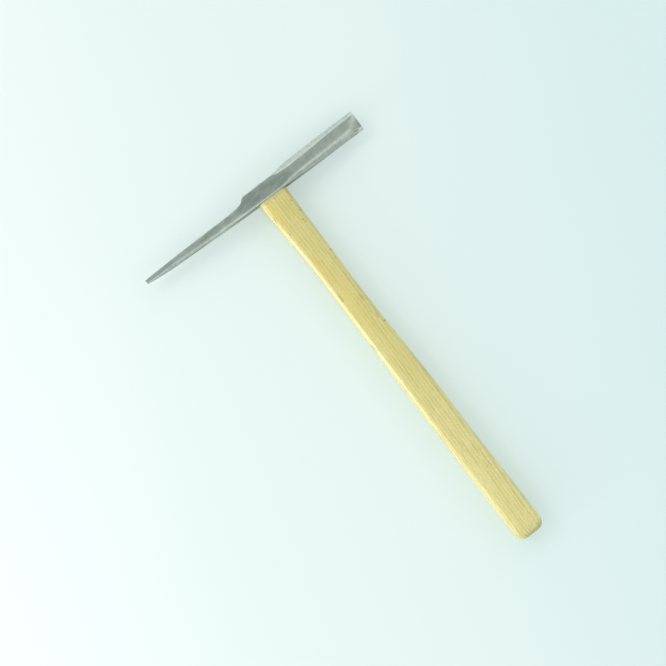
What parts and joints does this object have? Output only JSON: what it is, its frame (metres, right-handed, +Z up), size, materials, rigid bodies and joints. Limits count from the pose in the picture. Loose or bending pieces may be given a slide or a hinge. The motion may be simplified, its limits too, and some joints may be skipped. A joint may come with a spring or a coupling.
{
  "type": "chipping hammer",
  "caption": "Slag chipping hammer with a forged steel head, a tapered pick, a chisel edge in line with the handle, and a wedged ash handle.",
  "frame": {"origin": "under the middle of the eye, on the plane that the head's cheek and the handle's butt rest on", "axes": "+X along the head to the chisel edge, -Y along the handle to its butt, +Z up from the resting plane, across the cheeks"},
  "size_m": [0.1802, 0.3016, 0.019],
  "materials": {
    "head_steel": "satin ground",
    "ash_wood": "clear varnish",
    "wedge_wood": "bare",
    "wedge_steel": "sheared and hammered"
  },
  "bodies": {
    "root": {"hammer_head": "head_steel", "handle": "ash_wood", "wooden_wedge": "wedge_wood", "steel_wedge": "wedge_steel"}
  },
  "joints": []
}
